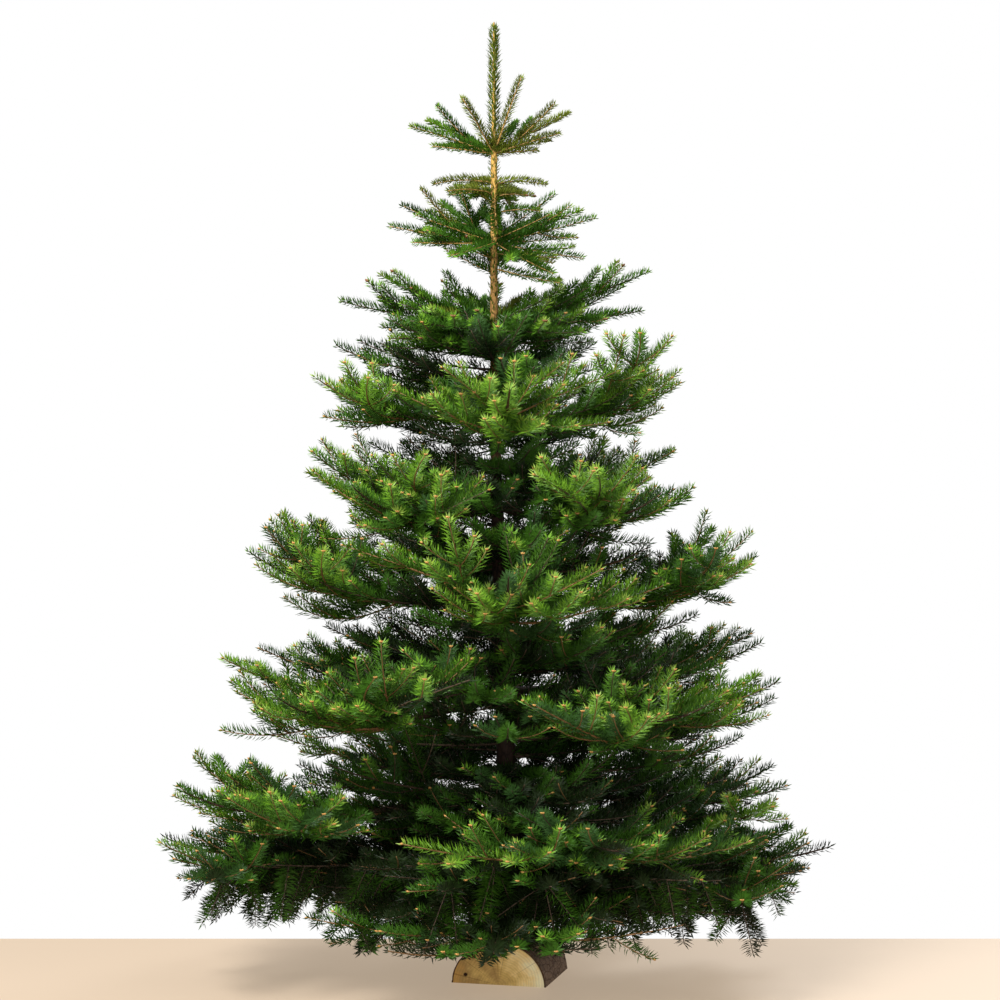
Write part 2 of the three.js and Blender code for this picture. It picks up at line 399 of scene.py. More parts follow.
for number, (low, high) in enumerate(zip(TIER_FEET, TIER_FEET[1:] + [TOP_GAP])):
    rise = 24 + 2 * number      # degrees, and steeper towards the top
    between_boughs(low, high, LONG_BETWEEN, LONG_SHARE, rise)
    between_boughs(low, high, SHORT_BETWEEN, SHORT_SHARE, rise)
print("tier feet", TIER_FEET, len(limbs), "limbs")


# %% [markdown]
# A tree is never quite even. A few small boughs stand where the crown is fuller than the rule makes it,
# at the sides of the lower tiers and in front of the upper trunk. Each is set by its direction round the
# trunk.

# %% Boughs that fill the crown's outline
FILL_RISE = 30             # degrees
# Each row is a direction in degrees, then the height of the foot, the reach and the tip's height in metres.
FILL_BOUGHS = [(0, 0.50, 0.475, 0.61), (-10, 0.43, 0.50, 0.545), (4, 0.40, 0.50, 0.505),
               (-4, 0.37, 0.43, 0.44), (180, 1.09, 0.29, 1.155), (172, 1.11, 0.25, 1.165),
               (-100, 1.12, 0.16, 1.19), (-65, 1.1, 0.14, 1.2), (2, 0.62, 0.36, 0.66),
               (178, 0.9, 0.23, 0.975), (-20, 0.92, 0.16, 0.97), (180, 0.56, 0.32, 0.64),
               (178, 0.3, 0.38, 0.385), (5, 0.92, 0.15, 0.98)]

for turn, base, reach, height in FILL_BOUGHS:
    line = bough_line(base, trunk_centre(height) + reach * level_way(math.radians(turn)), FILL_RISE)
    limbs.append({"line": line, "tier": "between", "kind": "small"})
print(len(FILL_BOUGHS), "boughs fill the outline")


# %% [markdown]
# The lowest small boughs make the skirt, which hides the foot of the trunk. They leave the trunk just
# above the half log and run out nearly level, some short and some almost to the edge. Four more close the
# front.

# %% The skirt
SKIRT_BOUGHS = 34
SKIRT_FEET = (0.15, 0.23)
SKIRT_TIPS = (0.16, 0.27)
SKIRT_HEIGHT = 0.2         # where the crown's reach is read for them, metres
SKIRT_SHARE = (0.42, 0.95)
SKIRT_RISE = 8             # degrees
FRONT_SKIRT = [(-128, 0.46), (-116, 0.47), (-70, 0.46), (-53, 0.48)]      # degrees and reach in metres
FRONT_SKIRT_FOOT, FRONT_SKIRT_TIP = 0.21, 0.18

for step in range(SKIRT_BOUGHS):
    turn = 2 * math.pi * (step + dice.uniform(-0.3, 0.3)) / SKIRT_BOUGHS
    tip = trunk_centre(dice.uniform(*SKIRT_TIPS))
    tip += level_way(turn) * crown_radius(SKIRT_HEIGHT) * dice.uniform(*SKIRT_SHARE)
    line = bough_line(dice.uniform(*SKIRT_FEET), tip, SKIRT_RISE)
    limbs.append({"line": line, "tier": "skirt", "kind": "small"})
for turn, reach in FRONT_SKIRT:
    tip = trunk_centre(FRONT_SKIRT_TIP) + reach * level_way(math.radians(turn))
    line = bough_line(FRONT_SKIRT_FOOT, tip, SKIRT_RISE)
    limbs.append({"line": line, "tier": "skirt", "kind": "small"})
print(len(limbs), "limbs in all")


# %% [markdown]
# ## Bark
# Young spruce bark is a smooth golden tan, and turns dark brown, rough and flaky towards the foot. The
# colour runs with height, which the Object coordinates give directly. Flakes about 8 mm across come from
# a Voronoi pattern stretched upwards, and finer noise breaks them up. The same nodes shade the colour and
# raise the bump.

# %% Bark materials
def bark_material(name, colours, stretch, flake_size, rise):
    """Flaky bark. Its colours run from the floor to the tree's top, and its flakes are stretched."""
    material = plain_material(name, "#5A3B22", 0.8, 0.25)
    surface = material.node_tree.nodes["Principled BSDF"]
    place = add_node(material, "ShaderNodeTexCoord")
    fitted = add_node(material, "ShaderNodeMapping", {"Vector": place.outputs["Object"], "Scale": stretch})
    flakes = add_node(material, "ShaderNodeTexVoronoi", {"Vector": fitted.outputs[0], "Scale": 1 / flake_size,
                                                         "Randomness": 1.0}, feature="DISTANCE_TO_EDGE")
    grain = add_node(material, "ShaderNodeTexNoise", {"Vector": fitted.outputs[0], "Scale": 2.2 / flake_size,
                                                      "Detail": 4.0, "Roughness": 0.65})
    parts = add_node(material, "ShaderNodeSeparateXYZ", {0: place.outputs["Object"]})
    height = add_node(material, "ShaderNodeMath", {0: parts.outputs["Z"], 1: 1 / TREE_TOP},
                      operation="MULTIPLY")
    stain = add_node(material, "ShaderNodeMath", {0: grain.outputs[0], 1: 0.22, 2: -0.11},
                     operation="MULTIPLY_ADD")
    stained = add_node(material, "ShaderNodeMath", {0: height.outputs[0], 1: stain.outputs[0]},
                       operation="ADD")
    body = add_node(material, "ShaderNodeValToRGB", {0: stained.outputs[0]})
    colour_steps(body, colours)
    crack = add_node(material, "ShaderNodeValToRGB", {0: flakes.outputs["Distance"]})
    colour_steps(crack, [(0.0, "#6E6560"), (0.09, "#FFFFFF")])
    mixed = add_node(material, "ShaderNodeMix", {0: 0.85, 6: body.outputs[0], 7: crack.outputs[0]},
                     data_type="RGBA", blend_type="MULTIPLY")
    relief = add_node(material, "ShaderNodeMath", {0: flakes.outputs["Distance"], 1: grain.outputs[0]},
                      operation="ADD")
    bump = add_node(material, "ShaderNodeBump", {"Height": relief.outputs[0], "Distance": rise,
                                                 "Strength": 0.7})
    material.node_tree.links.new(mixed.outputs[2], surface.inputs["Base Color"])
    material.node_tree.links.new(bump.outputs[0], surface.inputs["Normal"])
    return material


# Spruce trunk bark: grown in thin scales; dark grey brown below, golden and nearly smooth in the top third.
trunk_bark = bark_material("spruce_trunk_bark", [(0.0, "#2B1D13"), (0.5, "#33221A"), (0.62, "#6A4A26"),
                                                 (0.74, "#94713A"), (0.9, "#AC8A42"), (1.0, "#8F7636")],
                           stretch=(1, 1, 0.45), flake_size=0.008, rise=0.0016)
# Bough bark: thinner scales of the same kind, brown and dull inside the crown.
bough_bark = bark_material("spruce_bough_bark", [(0.0, "#2E2015"), (0.55, "#38271A"), (0.7, "#6D4B28")],
                           stretch=(1, 1, 1), flake_size=0.006, rise=0.001)
print("barks", trunk_bark.name, bough_bark.name)


# %% [markdown]
# ## Trunk and boughs
# The trunk is one long tapered stem. It starts as a disc on the trunk's foot and is extruded ring by ring
# up the middle line, and each ring is scaled to the girth there. A subdivision rounds it and a Displace
# modifier raises the scales of the bark, so the edge of the trunk is rough as well. Boughs are drawn out
# in the same way.

# %% Draw out a limb
bark_scales = bpy.data.textures.new("bark_scales", "CLOUDS")
bark_scales.noise_scale = 0.011
bark_scales.noise_depth = 3


def draw_out(name, line, radii, sides, levels, relief):
    """A limb with bark relief, extruded from a disc along a line of points."""
    bpy.ops.object.select_all(action="DESELECT")
    heading = Vector(line[-1] - line[0])
    if heading.z < 0.9 * heading.length:
        heading.z = 0
    turn = heading.to_track_quat("Z", "Y").to_euler()
    bpy.ops.mesh.primitive_circle_add(vertices=sides, radius=radii[0], fill_type="NGON", location=line[0],
                                      rotation=turn)
    limb = bpy.context.object
    limb.name = limb.data.name = name
    bpy.ops.object.transform_apply(location=True, rotation=True)
    bpy.ops.object.mode_set(mode="EDIT")
    bpy.ops.mesh.select_all(action="SELECT")
    for before, here, old, new in zip(line, line[1:], radii, radii[1:]):
        bpy.ops.mesh.extrude_region_move(TRANSFORM_OT_translate={"value": tuple(here - before)})
        bpy.ops.transform.resize(value=(new / old,) * 3, center_override=tuple(here))
    bpy.ops.mesh.select_all(action="SELECT")
    bpy.ops.mesh.normals_make_consistent(inside=False)
    bpy.ops.object.mode_set(mode="OBJECT")
    rounder = limb.modifiers.new("rounder", "SUBSURF")
    rounder.levels = rounder.render_levels = levels
    bpy.ops.object.modifier_apply(modifier="rounder")
    scales = limb.modifiers.new("scales", "DISPLACE")
    scales.texture = bark_scales
    scales.strength = relief
    scales.mid_level = 0.5
    bpy.ops.object.modifier_apply(modifier="scales")
    bpy.ops.object.shade_smooth()
    return limb


print("bark scales about", round(bark_scales.noise_scale * 1000), "mm")

# %% Trunk
TRUNK_STEP = 0.03
THINNEST = 0.0016          # radius at the tip of the leader
TRUNK_RELIEF = 0.0022

trunk_heights = np.arange(ring_heights[0] + 0.001, TREE_TOP - 0.004, TRUNK_STEP)
trunk_heights = np.append(trunk_heights, TREE_TOP - 0.002)
trunk = draw_out("trunk_bark", [trunk_centre(h) for h in trunk_heights],
                 [max(trunk_radius(h), THINNEST) for h in trunk_heights], 14, 2, TRUNK_RELIEF)
trunk.data.materials.append(trunk_bark)
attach(trunk, "root")
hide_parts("trunk")
print("trunk", len(trunk.data.polygons), "faces")

# %% [markdown]
# A main bough is 18 mm thick at the trunk and a couple of millimetres at its end, and thins faster near
# its foot. All of them share one bark, so they are joined into one piece.

# %% Boughs
BOUGH_FOOT = 0.009         # radius at the trunk
BOUGH_END = 0.0012
BOUGH_RELIEF = 0.0016


def bough_girth(count):
    """The radius of a bough at evenly spaced points from its foot to its end."""
    return BOUGH_END + (BOUGH_FOOT - BOUGH_END) * (1 - np.linspace(0, 1, count)) ** 1.2


drawn = []
for name, line in boughs.items():
    steps = line[::2] if len(line) % 2 else np.vstack([line[:-1:2], line[-1]])
    drawn.append(draw_out(name + "_bark", list(steps), list(bough_girth(len(steps))), 8, 1, BOUGH_RELIEF))
bpy.ops.object.select_all(action="DESELECT")
for limb in drawn:
    limb.select_set(True)
bpy.context.view_layer.objects.active = drawn[0]
bpy.ops.object.join()
bough_wood = bpy.context.object
bough_wood.name = bough_wood.data.name = "boughs"
bough_wood.data.materials.clear()
bough_wood.data.materials.append(bough_bark)
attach(bough_wood, "root")
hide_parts(*boughs)
print("boughs", len(bough_wood.data.polygons), "faces")


# %% [markdown]
# ## The half-log foot
# The tree stands in a short log split in half, flat side down, with a bore that its trunk is driven into.
# A cylinder laid on its side is flattened a little and cut in half by bisect. Its long edges are
# subdivided so the bark can be displaced, and a Boolean modifier cuts the bore.

# %% Shape the half log
LOG_WIDTH, LOG_HEIGHT, LOG_LENGTH = 0.175, 0.078, 0.175
LOG_TURN = math.radians(-14.6)
BORE_CLEARANCE = 0.0004

bpy.ops.object.select_all(action="DESELECT")
bpy.ops.mesh.primitive_cylinder_add(vertices=96, radius=LOG_WIDTH / 2, depth=LOG_LENGTH,
                                    rotation=(math.pi / 2, 0, 0))
log = bpy.context.object
log.name = log.data.name = "half_log"
bpy.ops.object.transform_apply(rotation=True)
log.scale = (1, 1, 2 * LOG_HEIGHT / LOG_WIDTH)
bpy.ops.object.transform_apply(scale=True)
bpy.ops.object.mode_set(mode="EDIT")
bpy.ops.mesh.select_all(action="SELECT")
bpy.ops.mesh.bisect(plane_co=(0, 0, 0.0), plane_no=(0, 0, 1), clear_inner=True, use_fill=True)
bpy.ops.mesh.select_mode(type="EDGE")
bpy.ops.mesh.select_all(action="DESELECT")
bpy.ops.object.mode_set(mode="OBJECT")
for edge in log.data.edges:
    ends = [log.data.vertices[k].co for k in edge.vertices]
    edge.select = abs(ends[0].y - ends[1].y) > LOG_LENGTH / 2
bpy.ops.object.mode_set(mode="EDIT")
bpy.ops.mesh.subdivide(number_cuts=40)
bpy.ops.mesh.select_all(action="SELECT")
bpy.ops.mesh.normals_make_consistent(inside=False)
bpy.ops.mesh.select_mode(type="VERT")
bpy.ops.object.mode_set(mode="OBJECT")
print("half log", len(log.data.polygons), "faces before its bark")


# %% [markdown]
# Only the round side carries bark, so a vertex group picks it out by its distance from the middle, and
# leaves the sawn ends and the split side flat. Two Displace modifiers, one coarse and one fine, raise
# plates and scales.

# %% Raise the bark of the half log
BORE_DEPTH = 0.2           # well past the top of the log, metres
BORE_MARGIN = 0.0015       # the bore is this much wider than the trunk, each side

bark_ridges = bpy.data.textures.new("bark_ridges", "VORONOI")
bark_ridges.noise_scale = 0.02
rim = log.vertex_groups.new(name="bark")
for vertex in log.data.vertices:
    x, y, z = vertex.co
    outer = math.hypot(x / (LOG_WIDTH / 2), z / LOG_HEIGHT) > 0.98
    if outer and z > 0.003:
        rim.add([vertex.index], 1.0 if abs(y) < LOG_LENGTH / 2 - 0.002 else 0.5, "REPLACE")
for texture, relief in ((bark_ridges, 0.005), (bark_scales, 0.004)):
    ridges = log.modifiers.new("ridges", "DISPLACE")
    ridges.texture = texture
    ridges.strength = relief
    ridges.mid_level = 0.75
    ridges.vertex_group = "bark"
    bpy.ops.object.modifier_apply(modifier="ridges")

bpy.ops.object.select_all(action="DESELECT")
bpy.ops.mesh.primitive_cylinder_add(vertices=32, radius=trunk_radius(0.05) + BORE_MARGIN, depth=BORE_DEPTH,
                                    location=(0, 0, ring_heights[0] + BORE_DEPTH / 2 - BORE_CLEARANCE))
borer = bpy.context.object
bore = log.modifiers.new("bore", "BOOLEAN")
bore.object = borer
bore.operation = "DIFFERENCE"
bore.solver = "EXACT"
bpy.context.view_layer.objects.active = log
bpy.ops.object.modifier_apply(modifier="bore")
bpy.data.objects.remove(borer)
log.rotation_euler = (0, 0, LOG_TURN)
log.select_set(True)
bpy.ops.object.transform_apply(rotation=True)
print("half log", len(log.data.polygons), "faces, box", [round(v, 3) for v in log.dimensions])


# %% [markdown]
# The sawn end shows year rings round the log's heart, which sits in the middle of the flat side, fine
# radial cracks, and stains from weather. The rings are really 2 to 3 mm apart, and are drawn at 5 mm so
# that they show. How far a point is from the heart comes from its Object coordinates, turned and scaled
# to the log's own shape.

# %% Year rings of the end grain
RING_SPACING = 0.005
RADIANS_ACROSS = 2 * math.pi * LOG_WIDTH / 2 / RING_SPACING      # the sine's turn from heart to bark

# Sawn spruce end grain: rough from the saw, matt, ochre to cream, with a thin dark rim of bark.
end_grain = plain_material("sawn_end_grain", "#CDA96A", 0.75, 0.2)
surface = end_grain.node_tree.nodes["Principled BSDF"]
place = add_node(end_grain, "ShaderNodeTexCoord")
turned = add_node(end_grain, "ShaderNodeMapping", {"Vector": place.outputs["Object"],
                                                   "Rotation": (0, 0, -LOG_TURN)})
parts = add_node(end_grain, "ShaderNodeSeparateXYZ", {0: turned.outputs[0]})
across = add_node(end_grain, "ShaderNodeMath", {0: parts.outputs["X"], 1: 2 / LOG_WIDTH},
                  operation="MULTIPLY")
upward = add_node(end_grain, "ShaderNodeMath", {0: parts.outputs["Z"], 1: 1 / LOG_HEIGHT},
                  operation="MULTIPLY")
flat = add_node(end_grain, "ShaderNodeCombineXYZ", {"X": across.outputs[0], "Y": upward.outputs[0]})
reach = add_node(end_grain, "ShaderNodeVectorMath", {0: flat.outputs[0]}, operation="LENGTH")
wobble = add_node(end_grain, "ShaderNodeTexNoise", {"Vector": flat.outputs[0], "Scale": 2.0, "Detail": 3.0})
wavy = add_node(end_grain, "ShaderNodeMath", {0: wobble.outputs[0], 1: 0.16, 2: reach.outputs["Value"]},
                operation="MULTIPLY_ADD")
turns = add_node(end_grain, "ShaderNodeMath", {0: wavy.outputs[0], 1: RADIANS_ACROSS}, operation="MULTIPLY")
ring = add_node(end_grain, "ShaderNodeMath", {0: turns.outputs[0]}, operation="SINE")
ring_shade = add_node(end_grain, "ShaderNodeMapRange", {"Value": ring.outputs[0], "From Min": -1.0,
                                                        "From Max": 1.0, "To Min": 0.88, "To Max": 1.0})
print("rings about", round(RING_SPACING * 1000), "mm apart")

# %% [markdown]
# Over the rings lies the colour of the wood with its stains, painted lighter towards one side (+X) as
# painted light falling on that side. Cracks run out from the heart, so their noise is read along the
# angle alone. One small dark knot and a thin brown rim of bark finish it.

# %% Colour, cracks and knot of the end grain
stain = add_node(end_grain, "ShaderNodeTexNoise", {"Vector": flat.outputs[0], "Scale": 1.6, "Detail": 5.0,
                                                   "Roughness": 0.6})
# Painted light: the wood is painted lighter towards +X across the sawn end, as a pool of light on that side;
# the noise adds real stains.
painted_light_across = add_node(end_grain, "ShaderNodeMath", {0: across.outputs[0], 1: 0.28, 2: stain.outputs[0]},
                        operation="MULTIPLY_ADD")
wood_tone_and_painted_light = add_node(end_grain, "ShaderNodeValToRGB", {0: painted_light_across.outputs[0]})
colour_steps(wood_tone_and_painted_light, [(0.22, "#C89C56"), (0.38, "#AC8C54"), (0.5, "#D6B56C"), (0.62, "#F8DC98"),
                           (0.8, "#FFF6CC")])
ringed = add_node(end_grain, "ShaderNodeMix", {0: 1.0, 6: wood_tone_and_painted_light.outputs[0], 7: ring_shade.outputs[0]},
                  data_type="RGBA", blend_type="MULTIPLY")
slope = add_node(end_grain, "ShaderNodeMath", {0: upward.outputs[0], 1: across.outputs[0]},
                 operation="ARCTAN2")
spokes = add_node(end_grain, "ShaderNodeTexNoise", {"W": slope.outputs[0], "Scale": 9.0, "Detail": 3.0},
                  noise_dimensions="1D")
crack = add_node(end_grain, "ShaderNodeValToRGB", {0: spokes.outputs[0]})
colour_steps(crack, [(0.3, "#6B4A2A"), (0.36, "#FFFFFF")])
cracked = add_node(end_grain, "ShaderNodeMix", {0: 0.35, 6: ringed.outputs[2], 7: crack.outputs[0]},
                   data_type="RGBA", blend_type="MULTIPLY")
knot_gap = add_node(end_grain, "ShaderNodeVectorMath", {0: flat.outputs[0], 1: (-0.7, 0.2, 0)},
                    operation="DISTANCE")
knot = add_node(end_grain, "ShaderNodeValToRGB", {0: knot_gap.outputs["Value"]})
colour_steps(knot, [(0.03, "#3A2413"), (0.055, "#FFFFFF")])
knotted = add_node(end_grain, "ShaderNodeMix", {0: 1.0, 6: cracked.outputs[2], 7: knot.outputs[0]},
                   data_type="RGBA", blend_type="MULTIPLY")
rim_mask = add_node(end_grain, "ShaderNodeMapRange", {"Value": reach.outputs["Value"], "From Min": 0.955,
                                                      "From Max": 0.97})
rimmed = add_node(end_grain, "ShaderNodeMix", {0: rim_mask.outputs[0], 6: knotted.outputs[2],
                                               7: linear("#4A2F1C")}, data_type="RGBA")
end_grain.node_tree.links.new(rimmed.outputs[2], surface.inputs["Base Color"])
fibre = add_node(end_grain, "ShaderNodeTexNoise", {"Vector": place.outputs["Object"], "Scale": 900.0,
                                                   "Detail": 2.0})
sawn = add_node(end_grain, "ShaderNodeBump", {"Height": fibre.outputs[0], "Distance": 0.0006,
                                              "Strength": 0.5})
end_grain.node_tree.links.new(sawn.outputs[0], surface.inputs["Normal"])
print("end grain has", len(end_grain.node_tree.nodes), "nodes")


# %% [markdown]
# The bark of the log is older than the tree's, with larger plates. The flat side was split with a wedge,
# not sawn. A noise pattern squeezed to a sixteenth along the log gives the fibres, and the same noise
# raises them.

# %% Log bark and split face
# Old log bark: grown in thick plates, weathered to grey brown, with reddish brown in the cracks.
log_bark = bark_material("weathered_log_bark", [(0.0, "#7A6555"), (0.02, "#8A7565"), (0.06, "#6A5343")],
                         stretch=(1, 0.6, 1), flake_size=0.011, rise=0.003)

# Split spruce: torn along its fibres, so it is pale with long fine streaks.
split_face = plain_material("split_spruce", "#D2B077", 0.7, 0.2)
surface = split_face.node_tree.nodes["Principled BSDF"]
place = add_node(split_face, "ShaderNodeTexCoord")
turned = add_node(split_face, "ShaderNodeMapping", {"Vector": place.outputs["Object"],
                                                    "Rotation": (0, 0, -LOG_TURN), "Scale": (1, 0.06, 1)})
fibres = add_node(split_face, "ShaderNodeTexNoise", {"Vector": turned.outputs[0], "Scale": 260.0,
                                                     "Detail": 4.0})
streaks = add_node(split_face, "ShaderNodeValToRGB", {0: fibres.outputs[0]})
colour_steps(streaks, [(0.3, "#B58C52"), (0.7, "#E3CB94")])
torn = add_node(split_face, "ShaderNodeBump", {"Height": fibres.outputs[0], "Distance": 0.001,
                                               "Strength": 0.6})
split_face.node_tree.links.new(streaks.outputs[0], surface.inputs["Base Color"])
split_face.node_tree.links.new(torn.outputs[0], surface.inputs["Normal"])

# %% Dress the half log
log.data.materials.clear()
for material in (log_bark, end_grain, split_face):
    log.data.materials.append(material)
lengthwise = Vector((-math.sin(LOG_TURN), math.cos(LOG_TURN), 0))
for face in log.data.polygons:
    sawn_off = abs(face.normal.dot(lengthwise)) > 0.8
    split = face.normal.z < -0.8
    face.material_index = 1 if sawn_off else 2 if split else 0
    face.use_smooth = face.material_index == 0
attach(log, "root")
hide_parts("half_log_stand")
print("log faces by material", np.bincount([face.material_index for face in log.data.polygons]))


# %% [markdown]
# ## The branching rule
# Each year a spruce shoot grows on by about a hand's width and sets a pair of side shoots at the joint,
# like the bones of a herring. The older a joint is, the longer its side shoots are. Smaller shoots stand
# between the joints. The rule is written once and used again on each side shoot, with seeded dice for its
# angles.

# %% Walk along a line, and bend a side shoot
def along(line):
    """Distances along a line of points."""
    return np.concatenate([[0], np.cumsum(np.linalg.norm(np.diff(line, axis=0), axis=1))])


def point_at(line, distances, place):
    """The point and the direction at a distance along a line."""
    step = int(np.clip(np.searchsorted(distances, place) - 1, 0, len(line) - 2))
    share = (place - distances[step]) / (distances[step + 1] - distances[step])
    return line[step] + share * (line[step + 1] - line[step]), unit(line[step + 1] - line[step])


def side_line(foot, ahead, side, length, angle, lift):
    """A side shoot that starts at an angle, and bends forward and up."""
    start = math.cos(angle) * ahead + math.sin(angle) * side
    finish = unit(start + 0.28 * ahead + lift * UP)
    count = max(3, int(length / 0.022) + 1)
    t = np.linspace(0, 1, count)[:, None]
    turning = unit((1 - t) * start + t * finish)
    steps = (turning[1:] + turning[:-1]) / 2 * length / (count - 1)
    return foot + np.concatenate([[np.zeros(3)], np.cumsum(steps, axis=0)])


print("a straight line of 3 points is", along(np.array([[0, 0, 0], [1, 0, 0], [2, 0, 0]]))[-1], "m long")

# %% Grow the side shoots
YEAR = 0.115               # a year's growth of a shoot, metres
SIDE_SHARE = 0.78          # length of a side shoot, as a share of what is left of its parent
SIDE_LONGEST = {"bough": 0.2, "finger": 0.17, "whorl": 0.12, "small": 0.18}
SIDE_SHORTEST = 0.075
SIDE_ANGLE = 47            # degrees from the parent
SMALL_SHOOT = (0.06, 0.1)
SMALL_SPACING = 0.05
JOINT_GAP = 0.018          # no small shoot stands closer to a joint
DEEPEST = 3                # side shoots of side shoots end at this order
SHORTEST_PARENT = 1.1 * YEAR
SHORTEST_WHORL_PARENT = 0.17
CHILD_BARE = 0.03          # a side shoot branches only past this distance from its foot

shoots = []


def places_of(length, first):
    """Where side shoots stand, as (distance, 1 for a pair at a joint or 0 for a small one)."""
    joints = [length - YEAR * year * dice.uniform(0.93, 1.07) for year in range(1, int(length / YEAR) + 1)]
    places = [(place, 1) for place in joints if place > first]
    places += [(place, 0) for place in np.arange(first, length - 0.85 * YEAR, SMALL_SPACING)
               if all(abs(place - joint) > JOINT_GAP for joint in joints)]
    return places


def grow(line, order, limb, lift, first):
    """Records a shoot, and grows its side shoots from a first distance on."""
    distances = along(line)
    length = distances[-1]
    kind = limbs[limb]["kind"]
    shoots.append({"line": line, "order": order, "limb": limb, "length": length})
    if order >= DEEPEST or length < (SHORTEST_WHORL_PARENT if kind == "whorl" else SHORTEST_PARENT):
        return
    places = places_of(length, first)
    hand = dice.choice([-1, 1])
    for place, pair in places:
        foot, ahead = point_at(line, distances, place)
        level = unit(np.cross(ahead, UP))
        hand = -hand
        for way in ((-1, 1) if pair else (hand,)):
            roll = math.radians(dice.normal(6, 24))
            side = way * (level * math.cos(roll)) + np.cross(level, ahead) * math.sin(roll)
            angle = math.radians(SIDE_ANGLE + dice.normal(0, 6))
            if pair:
                reach = np.clip(SIDE_SHARE * (length - place), SIDE_SHORTEST, SIDE_LONGEST[kind])
                reach = reach * dice.uniform(0.82, 1.1)
            else:
                reach = min(dice.uniform(*SMALL_SHOOT), 0.8 * (length - place) + 0.015)
            child = side_line(foot, ahead, unit(side), reach, angle, lift * dice.uniform(0.6, 1.3))
            grow(child, order + 1, limb, lift, CHILD_BARE)


# %% [markdown]
# Side shoots turn up towards the light. Near the floor there is little of it, so they stay almost level.
# Each limb starts the rule with its own lift, and with the bare stretch that it keeps next to the trunk.

# %% Start the rule on every limb
LIFTS = {"6": 0.3, "5": 0.55, "4": 0.66, "3": 0.68, "2": 0.7, "1": 0.7, "between": 0.64, "skirt": 0.1}
WHORL_LIFT = 0.34
BARE_SHARE = {"bough": 0.12, "finger": 0.1, "small": 0.15}           # of the limb's length
WHORL_BARE = 0.05          # metres

for number, limb in enumerate(limbs):
    kind = limb["kind"]
    length = along(limb["line"])[-1]
    first = WHORL_BARE if kind == "whorl" else BARE_SHARE[kind] * length
    order = {"bough": 0, "whorl": 2 if length < SHORTEST_WHORL_PARENT else 1}.get(kind, 1)
    grow(limb["line"], order, number, LIFTS.get(limb["tier"], WHORL_LIFT), first)
print(len(shoots), "shoots before the hanging ones")


# %% [markdown]
# Old spruce boughs carry shoots that hang from their underside. Only the lowest boughs show them here:
# they make the ragged edge over the floor. Each leaves its bough downwards and a little ahead, and bends
# very little.

# %% Hanging shoots of the skirt
HANG_SPACING = 0.03
HANG_LENGTH = (0.065, 0.115)
HANG_FROM = 0.3            # the shares of a bough's length between which they stand
HANG_TO = {"6": 0.78, "skirt": 0.95}
SKIRT_EDGE = 0.098         # nothing hangs lower, metres above the floor

for number, limb in enumerate(limbs):
    if limb["tier"] not in HANG_TO:
        continue
    distances = along(limb["line"])
    end = HANG_TO[limb["tier"]] * distances[-1]
    for place in np.arange(HANG_FROM * distances[-1], end, HANG_SPACING):
        foot, ahead = point_at(limb["line"], distances, place)
        side = np.cross(ahead, UP) * dice.normal(0, 0.6)
        down = unit(0.45 * ahead + side - 0.9 * UP)
        hanging = side_line(foot, down, side, dice.uniform(*HANG_LENGTH), 0, -0.1)
        if hanging[-1][2] > SKIRT_EDGE:
            shoots.append({"line": hanging, "order": 2, "limb": number, "length": along(hanging)[-1],
                           "hangs": True})
print(sum("hangs" in shoot for shoot in shoots), "shoots hang")


# %% [markdown]
# A grower clips the few shoots that stand out of the crown, so the tree keeps its even outline, and
# clears the foot so that the log shows. The same is done here, shoot by shoot, by the place of each tip.

# %% Trim the front
FRONT_EDGE = -0.553        # no tip stands further to the front, metres
LOG_FRONT = -0.1           # only tips in front of this line can hide the log
LOG_VIEW = (0.14, 0.112)   # half width and height of the space kept clear in front of the half log


def hides_log(tip):
    """Whether a tip hangs in front of the half log."""
    return tip[1] < LOG_FRONT and abs(tip[0]) < LOG_VIEW[0] and tip[2] < LOG_VIEW[1]


def stays(shoot):
    """Whether a shoot is left on the tree. Boughs always are."""
    tip = shoot["line"][-1]
    return shoot["order"] == 0 or (tip[1] > FRONT_EDGE and not hides_log(tip))


shoots = [shoot for shoot in shoots if stays(shoot)]
print(len(shoots), "shoots,", round(sum(shoot["length"] for shoot in shoots)), "m of shoot, by order",
      np.bincount([shoot["order"] for shoot in shoots]))


# %% [markdown]
# ## Needles
# A spruce needle is thin, stiff and pointed, and it leans forward from its shoot. It is made of two long
# triangles folded along its middle, so that it shows some width from every side. Needles stand in a
# spiral, which is pressed to the sides and the top as on a real bough, and they are wider than life so
# fewer of them cover.

# %% Directions across a shoot
STEEP = 0.2                # below this a line is too near to upright to have a level side


def frame_across(ahead):
    """Two directions across each direction of a line: a level one, and one that looks up."""
    level = np.cross(ahead, UP)
    steep = np.linalg.norm(level, axis=-1) < STEEP
    level = unit(np.where(steep[:, None], np.cross(ahead, [0.0, 1.0, 0.0]), level))
    return level, np.cross(level, ahead)


print("across a line along Y:", *(np.round(way[0], 2) for way in frame_across(np.array([[0.0, 1.0, 0.0]]))))

# %% How needles stand on a shoot
NEEDLES_PER_METRE = 900
NEEDLE_LENGTH = 0.0218
NEEDLE_WIDTH = 0.0028
WIDEST = 0.42              # where along a needle it is widest
FOLD = 0.8                 # how far its middle is raised, as a share of half its width
JITTER = 0.0004            # needles are out of place by up to this, metres
GOLDEN_TURN = math.radians(137.5)
SIDES_AND_TOP = 0.74       # the spiral keeps to this share of the full turn, and leaves the underside free
LEAN = 61                  # degrees from the shoot
LEAN_OPENS = (9, 0.03)     # and this many more near the tip, within so many metres of it
LEAN_CLOSES = (34, 0.0025)      # but this many fewer at the very tip
TIP_SHORTER = (0.42, 0.022)     # needles are this share shorter at the tip, within so many metres
FRESH_END = 0.009          # the newest needles of a shoot, at its tip, are a step brighter
SHADED_BASE_SHARE = 0.5          # the needles of the half nearer its foot are a step darker: painted shade
RANDOM_DARK_CHANCE = 0.22        # and so is this share of all the others, at random
NEEDLE_LIFT = 0.16         # how much they turn up towards the light


